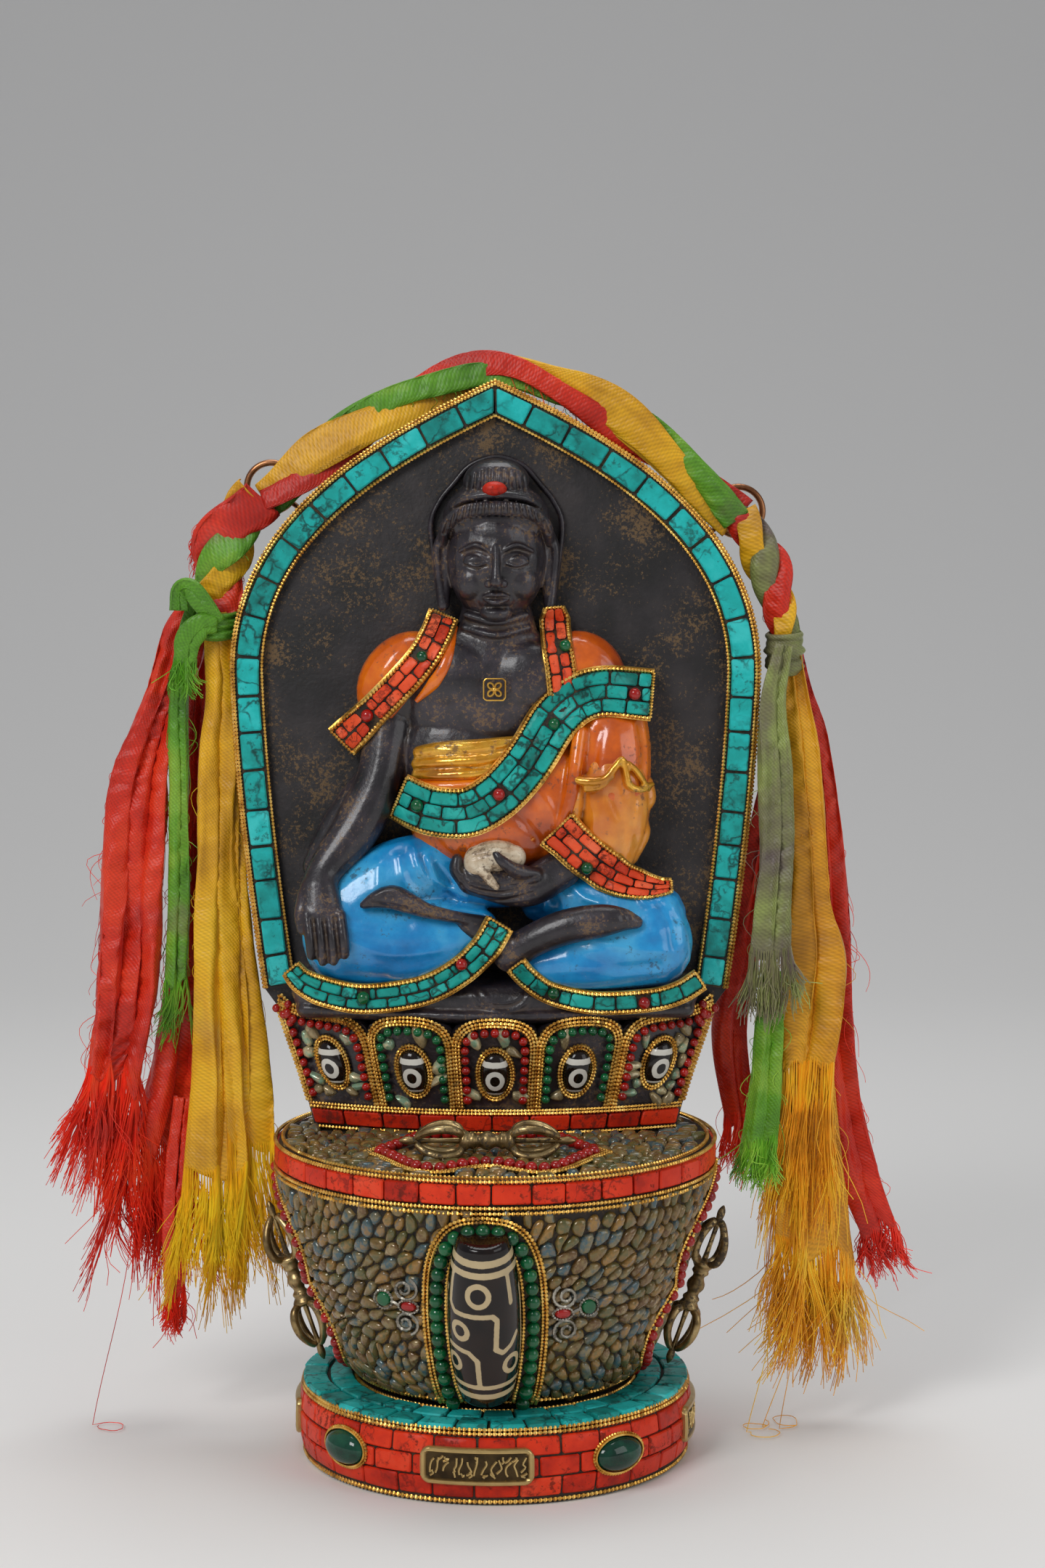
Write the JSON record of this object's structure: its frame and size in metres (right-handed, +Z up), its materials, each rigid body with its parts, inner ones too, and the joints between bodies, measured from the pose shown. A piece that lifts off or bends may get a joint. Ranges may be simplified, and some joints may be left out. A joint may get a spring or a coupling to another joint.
{
  "type": "buddhist relief plaque",
  "caption": "Arched relief plaque of a seated Buddha on a lotus plinth, standing on a lidded mosaic bowl with a round foot and draped with silk scarves.",
  "frame": {"origin": "middle of the round foot's underside, on the surface it stands on", "axes": "+Z up along the bowl's axis, +X to the viewer's right, the figure faces -Y"},
  "size_m": [0.3042, 0.1613, 0.3829],
  "materials": {
    "stone": "satin",
    "turquoise": "gloss",
    "coral": "gloss",
    "shell": "gloss",
    "brass": "satin",
    "copper": "satin",
    "bead": "polished",
    "green_stone": "polished",
    "yellow_silk": "satin",
    "red_silk": "satin",
    "green_silk": "satin"
  },
  "bodies": {
    "root": {"base_foot": "coral", "nameplate_front": "brass", "nameplate_right": "brass", "nameplate_back": "brass", "nameplate_left": "brass", "foot_cabochon_1": "green_stone", "foot_cabochon_2": "green_stone", "foot_cabochon_3": "green_stone", "foot_cabochon_4": "green_stone", "bowl_body": "shell", "dzi_bead": "bead", "side_vajra_right": "brass", "side_vajra_left": "brass", "bowl_lid": "coral", "lid_vajra": "brass", "turquoise_border": "turquoise", "plinth_coral_band": "coral", "relief_plaque": "stone", "lapel_left": "coral", "lapel_right": "coral", "cuff_coral": "coral", "sash_turquoise": "turquoise", "hem_left": "turquoise", "hem_right": "turquoise", "head_jewel": "coral", "petal_dzi_1": "bead", "petal_dzi_2": "bead", "petal_dzi_3": "bead", "petal_dzi_4": "bead", "petal_dzi_5": "bead", "copper_ring_left": "copper", "ring_eye_left": "copper", "copper_ring_right": "copper", "ring_eye_right": "copper", "silk_garland": "yellow_silk", "silk_left_knot": "red_silk", "silk_left_yellow": "yellow_silk", "silk_left_red": "red_silk", "silk_left_red_inner": "red_silk", "silk_left_green": "green_silk", "silk_right_braid": "red_silk", "silk_right_yellow": "yellow_silk", "silk_right_green": "green_silk", "silk_right_red": "red_silk", "silk_right_red_inner": "red_silk"}
  },
  "joints": []
}
